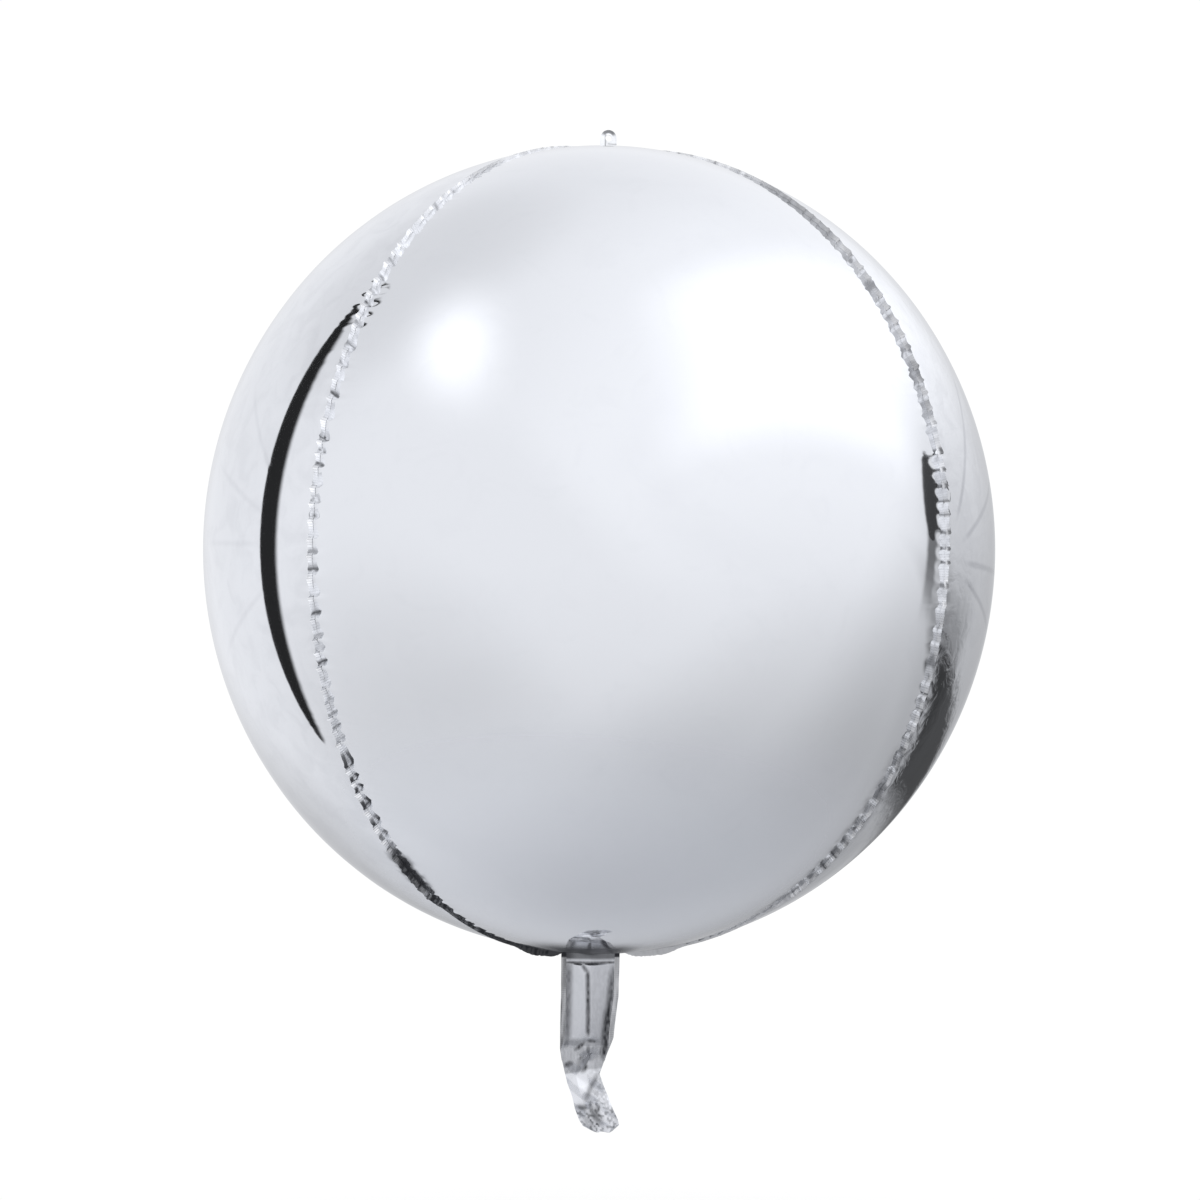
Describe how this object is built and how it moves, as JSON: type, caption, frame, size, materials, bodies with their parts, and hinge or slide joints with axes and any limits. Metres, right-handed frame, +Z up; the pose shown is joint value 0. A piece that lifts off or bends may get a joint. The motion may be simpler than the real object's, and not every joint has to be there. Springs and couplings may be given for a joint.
{
  "type": "sphere foil balloon",
  "caption": "Inflated ball of welded mirror film gores with crimped seams, a hang tab on the crown and a folding inflation neck at the foot.",
  "frame": {"origin": "centre of the ball, where the air around it lifts it", "axes": "+Z up through the crown and the hang tab, -Y out of the middle of the front gore, +X to the right seen from the front"},
  "size_m": [0.3996, 0.3996, 0.5173],
  "materials": {
    "gore_film": "bright metallised film, inflated taut",
    "weld_film": "metallised film pressed together and crimped",
    "tab_film": "stiff double metallised film",
    "neck_film": "slack metallised film with fine creases"
  },
  "bodies": {
    "ball": {"gore_front": "gore_film", "gore_right": "gore_film", "gore_back": "gore_film", "gore_left": "gore_film", "seam_front_right": "weld_film", "seam_front_left": "weld_film", "seam_back_right": "weld_film", "seam_back_left": "weld_film", "crown_weld": "weld_film", "foot_weld": "weld_film"},
    "hang_tab": {"hang_tab": "tab_film"},
    "neck": {"neck_front_film": "neck_film", "neck_back_film": "neck_film", "neck_left_margin": "neck_film", "neck_right_margin": "neck_film"},
    "tail_end": {"tail_end_front_film": "neck_film", "tail_end_back_film": "neck_film"}
  },
  "joints": [
    {"name": "hang_tab_fold", "type": "hinge", "parent": "ball", "child": "hang_tab", "pos_m": [0, 0, 0.2053], "axis": [1, 0, 0], "range_deg": [-70, 70], "stiffness_Nm_per_rad": 0.00002},
    {"name": "neck_fold", "type": "hinge", "parent": "ball", "child": "neck", "pos_m": [0, 0, -0.20585], "axis": [1, 0, 0], "range_deg": [-65, 65]},
    {"name": "tail_end_fold", "type": "hinge", "parent": "neck", "child": "tail_end", "pos_m": [0, 0, -0.26085], "axis": [1, 0, 0], "range_deg": [-60, 60]}
  ]
}
